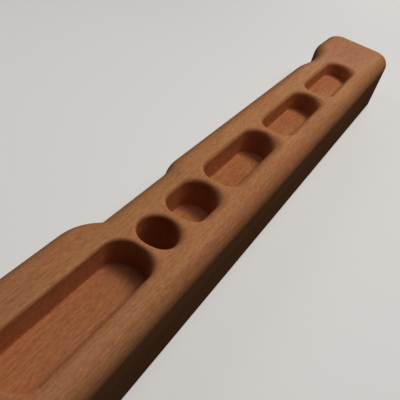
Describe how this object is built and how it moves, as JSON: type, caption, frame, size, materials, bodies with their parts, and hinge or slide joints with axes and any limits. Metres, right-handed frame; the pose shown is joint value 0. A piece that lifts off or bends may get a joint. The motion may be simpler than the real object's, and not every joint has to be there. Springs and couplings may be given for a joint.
{
  "type": "hangboard",
  "caption": "Laminated beech climbing training board with a mirrored row of finger pockets, a wavy upper edge, rounded gripping edges and threaded inserts in its flat back.",
  "frame": {"origin": "centre of the box of the flat back face, which the board lies on", "axes": "+X along the board, to the right as seen from the front; +Y towards the wavy edge that is uppermost when the board hangs; +Z out of the gripping face"},
  "size_m": [0.9502, 0.074, 0.058],
  "materials": {
    "beech_front": "oiled satin, lengthwise grain with fine ray flecks",
    "beech_back": "oiled satin, lengthwise grain with fine ray flecks",
    "insert_metal": "zinc plated"
  },
  "bodies": {
    "root": {"front_layer": "beech_front", "back_layer": "beech_back", "threaded_insert_1": "insert_metal", "threaded_insert_2": "insert_metal", "threaded_insert_3": "insert_metal", "threaded_insert_4": "insert_metal", "threaded_insert_5": "insert_metal", "threaded_insert_6": "insert_metal"}
  },
  "joints": []
}
